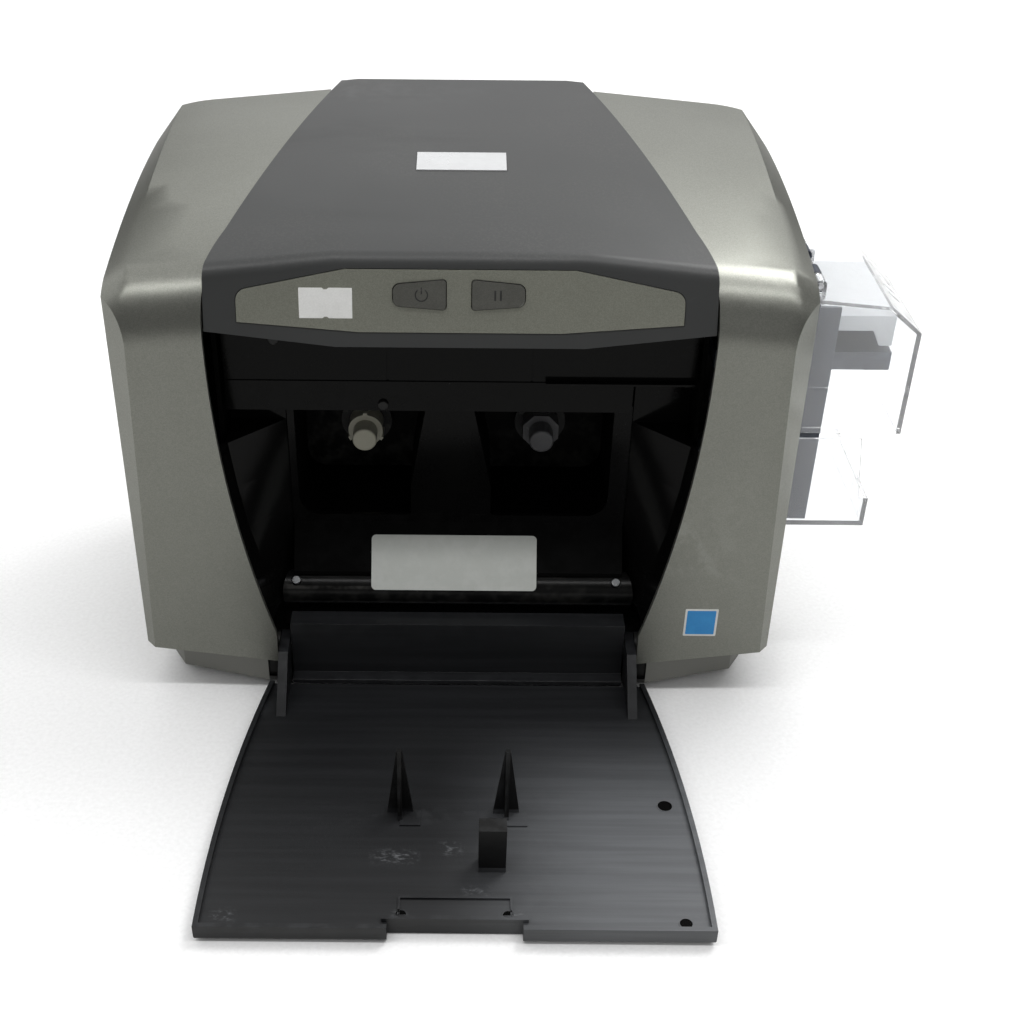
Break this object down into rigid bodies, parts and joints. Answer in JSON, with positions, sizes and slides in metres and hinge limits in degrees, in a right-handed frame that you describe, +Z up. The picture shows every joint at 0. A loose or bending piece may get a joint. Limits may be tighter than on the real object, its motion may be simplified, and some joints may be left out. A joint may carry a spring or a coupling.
{
  "type": "id card printer",
  "caption": "Desktop card printer with a let-down front door, ribbon spindles, a lifting top cover with two keys, and a clear side card hopper over an output bin.",
  "frame": {"origin": "on the table, under the middle of the whole footprint with the door open and the hopper fitted", "axes": "+Z up, +Y to the back of the printer, +X to its right side where the hopper is"},
  "size_m": [0.3486, 0.346, 0.2419],
  "materials": {
    "base_pan": "fine moulded grain",
    "rubber_feet": "matt rubber",
    "left_side_shell": "satin metallic warm grey",
    "right_side_shell": "satin metallic warm grey",
    "rear_panel": "moulded grain",
    "top_cover": "soft satin charcoal",
    "control_panel": "satin warm grey",
    "power_button": "satin with a power symbol",
    "pause_button": "satin with a pause symbol",
    "name_plate": "blank brushed plate",
    "hinge_pins": "bright steel",
    "front_door": "moulded charcoal with flow lines",
    "door_threshold": "glossy black",
    "left_cheek": "glossy black",
    "right_cheek": "glossy black",
    "header_panel": "glossy black",
    "screw_heads": "plated steel",
    "window_plate": "semi-gloss black",
    "left_ribbon_bay": "black",
    "right_ribbon_bay": "black",
    "lower_apron": "semi-gloss black",
    "cross_bar": "glossy black",
    "data_label": "blank paper label",
    "chassis_floor": "galvanised sheet",
    "left_frame_plate": "galvanised sheet",
    "right_frame_plate": "galvanised sheet",
    "rear_bulkhead": "black-coated sheet",
    "gear_plate": "galvanised sheet",
    "takeup_spindle": "beige acetal",
    "takeup_gear": "white acetal",
    "supply_spindle": "dark grey acetal",
    "takeup_pinion": "brass",
    "takeup_motor": "plated can",
    "lift_cam": "white acetal",
    "cam_pinion": "brass",
    "cam_motor": "plated can",
    "head_carrier": "glass-filled black",
    "print_head": "machined heatsink with a ceramic strip",
    "platen_roller": "black rubber on steel",
    "infeed_roller": "red-brown rubber on steel",
    "outfeed_roller": "red-brown rubber on steel",
    "infeed_pinch_roller": "ground steel",
    "outfeed_pinch_roller": "ground steel",
    "pick_roller": "red-brown rubber on steel",
    "idler_pulley": "white acetal",
    "timing_belt": "black rubber",
    "card_rails": "black acetal",
    "drive_motor": "black and steel laminations",
    "motor_pulley": "turned",
    "main_board": "green solder mask",
    "usb_socket": "plated steel",
    "power_socket": "black",
    "hopper_frame": "dark blue-grey",
    "hopper_cover": "clear polycarbonate",
    "card_lift_tray": "dark blue-grey",
    "tray_bracket": "dark blue-grey",
    "tray_spring": "spring steel",
    "output_bin": "clear polycarbonate",
    "stack_cap": "light grey"
  },
  "bodies": {
    "chassis": {"base_pan": "base_pan", "rubber_feet": "rubber_feet", "left_side_shell": "left_side_shell", "right_side_shell": "right_side_shell", "rear_panel": "rear_panel", "hinge_pins": "hinge_pins", "door_threshold": "door_threshold", "left_cheek": "left_cheek", "right_cheek": "right_cheek", "header_panel": "header_panel", "screw_heads": "screw_heads", "window_plate": "window_plate", "left_ribbon_bay": "left_ribbon_bay", "right_ribbon_bay": "right_ribbon_bay", "lower_apron": "lower_apron", "cross_bar": "cross_bar", "data_label": "data_label", "chassis_floor": "chassis_floor", "left_frame_plate": "left_frame_plate", "right_frame_plate": "right_frame_plate", "rear_bulkhead": "rear_bulkhead", "gear_plate": "gear_plate", "takeup_motor": "takeup_motor", "cam_motor": "cam_motor", "timing_belt": "timing_belt", "card_rails": "card_rails", "drive_motor": "drive_motor", "main_board": "main_board", "usb_socket": "usb_socket", "power_socket": "power_socket", "hopper_frame": "hopper_frame", "tray_bracket": "tray_bracket", "tray_spring": "tray_spring", "output_bin": "output_bin", "stack_cap": "stack_cap"},
    "door": {"front_door": "front_door"},
    "lid": {"top_cover": "top_cover", "control_panel": "control_panel", "name_plate": "name_plate"},
    "power_key": {"power_button": "power_button"},
    "pause_key": {"pause_button": "pause_button"},
    "takeup": {"takeup_spindle": "takeup_spindle", "takeup_gear": "takeup_gear"},
    "takeup_drive": {"takeup_pinion": "takeup_pinion"},
    "supply": {"supply_spindle": "supply_spindle"},
    "cam": {"lift_cam": "lift_cam"},
    "cam_drive": {"cam_pinion": "cam_pinion"},
    "head": {"head_carrier": "head_carrier", "print_head": "print_head"},
    "platen": {"platen_roller": "platen_roller"},
    "infeed": {"infeed_roller": "infeed_roller"},
    "outfeed": {"outfeed_roller": "outfeed_roller"},
    "infeed_pinch": {"infeed_pinch_roller": "infeed_pinch_roller"},
    "outfeed_pinch": {"outfeed_pinch_roller": "outfeed_pinch_roller"},
    "pick": {"pick_roller": "pick_roller"},
    "idler": {"idler_pulley": "idler_pulley"},
    "motor_shaft": {"motor_pulley": "motor_pulley"},
    "hopper_lid": {"hopper_cover": "hopper_cover"},
    "tray": {"card_lift_tray": "card_lift_tray"}
  },
  "joints": [
    {"name": "door_hinge", "type": "hinge", "parent": "chassis", "child": "door", "pos_m": [-0.02425, -0.00295, 0.02145], "axis": [-1, 0, 0], "range_deg": [0, 90]},
    {"name": "lid_hinge", "type": "hinge", "parent": "chassis", "child": "lid", "pos_m": [-0.02425, 0.164, 0.23136], "axis": [-1, 0, 0], "range_deg": [0, 60]},
    {"name": "power_press", "type": "slide", "parent": "lid", "child": "power_key", "axis": [0, 0.9744, -0.225], "range_m": [0, 0.001], "stiffness_N_per_m": 500, "springref_m": -0.0006},
    {"name": "pause_press", "type": "slide", "parent": "lid", "child": "pause_key", "axis": [0, 0.9744, -0.225], "range_m": [0, 0.001], "stiffness_N_per_m": 500, "springref_m": -0.0006},
    {"name": "takeup_spin", "type": "hinge", "parent": "chassis", "child": "takeup", "pos_m": [-0.07025, 0.084, 0.106], "axis": [0, 1, 0], "continuous": true},
    {"name": "takeup_drive_spin", "type": "hinge", "parent": "chassis", "child": "takeup_drive", "pos_m": [-0.08722, 0.084, 0.08903], "axis": [0, 1, 0], "continuous": true},
    {"name": "supply_spin", "type": "hinge", "parent": "chassis", "child": "supply", "pos_m": [0.01575, 0.084, 0.106], "axis": [0, 1, 0], "continuous": true},
    {"name": "cam_turn", "type": "hinge", "parent": "chassis", "child": "cam", "pos_m": [-0.02875, 0.084, 0.098], "axis": [0, 1, 0], "range_deg": [0, 180]},
    {"name": "cam_drive_spin", "type": "hinge", "parent": "chassis", "child": "cam_drive", "pos_m": [-0.02875, 0.084, 0.08], "axis": [0, 1, 0], "range_deg": [-360, 0]},
    {"name": "head_lift", "type": "slide", "parent": "chassis", "child": "head", "axis": [0, 0, 1], "range_m": [0, 0.003]},
    {"name": "outfeed_spin", "type": "hinge", "parent": "chassis", "child": "outfeed", "pos_m": [-0.09225, 0.084, 0.1668], "axis": [0, 1, 0], "continuous": true},
    {"name": "infeed_spin", "type": "hinge", "parent": "chassis", "child": "infeed", "pos_m": [0.03775, 0.084, 0.1668], "axis": [0, 1, 0], "continuous": true},
    {"name": "idler_spin", "type": "hinge", "parent": "chassis", "child": "idler", "pos_m": [0.09975, 0.084, 0.1668], "axis": [0, 1, 0], "continuous": true},
    {"name": "motor_spin", "type": "hinge", "parent": "chassis", "child": "motor_shaft", "pos_m": [-0.02875, 0.084, 0.118], "axis": [0, 1, 0], "continuous": true},
    {"name": "platen_spin", "type": "hinge", "parent": "chassis", "child": "platen", "pos_m": [-0.02875, 0.084, 0.18], "axis": [0, 1, 0], "continuous": true},
    {"name": "pick_spin", "type": "hinge", "parent": "chassis", "child": "pick", "pos_m": [0.09375, 0.084, 0.18], "axis": [0, 1, 0], "continuous": true},
    {"name": "outfeed_pinch_spin", "type": "hinge", "parent": "chassis", "child": "outfeed_pinch", "pos_m": [-0.09225, 0.084, 0.18], "axis": [0, 1, 0], "continuous": true},
    {"name": "infeed_pinch_spin", "type": "hinge", "parent": "chassis", "child": "infeed_pinch", "pos_m": [0.03775, 0.084, 0.18], "axis": [0, 1, 0], "continuous": true},
    {"name": "hopper_cover_hinge", "type": "hinge", "parent": "chassis", "child": "hopper_lid", "pos_m": [0.12965, 0.0405, 0.2019], "axis": [0, -1, 0], "range_deg": [0, 90]},
    {"name": "tray_slide", "type": "slide", "parent": "chassis", "child": "tray", "axis": [0, 0, 1], "range_m": [-0.025, 0], "stiffness_N_per_m": 60, "springref_m": 0.02, "deforming": ["tray_spring"]}
  ],
  "couplings": [
    {"joint": "takeup_drive_spin", "follows": "takeup_spin", "ratio": -3},
    {"joint": "cam_turn", "follows": "head_lift", "rad_per_m": 1047.2},
    {"joint": "cam_drive_spin", "follows": "head_lift", "rad_per_m": -2094.4},
    {"joint": "infeed_spin", "follows": "outfeed_spin", "ratio": 1},
    {"joint": "idler_spin", "follows": "outfeed_spin", "ratio": 1},
    {"joint": "motor_spin", "follows": "outfeed_spin", "ratio": 1},
    {"joint": "platen_spin", "follows": "outfeed_spin", "ratio": -1},
    {"joint": "pick_spin", "follows": "outfeed_spin", "ratio": -1},
    {"joint": "outfeed_pinch_spin", "follows": "outfeed_spin", "ratio": -1},
    {"joint": "infeed_pinch_spin", "follows": "outfeed_spin", "ratio": -1}
  ]
}
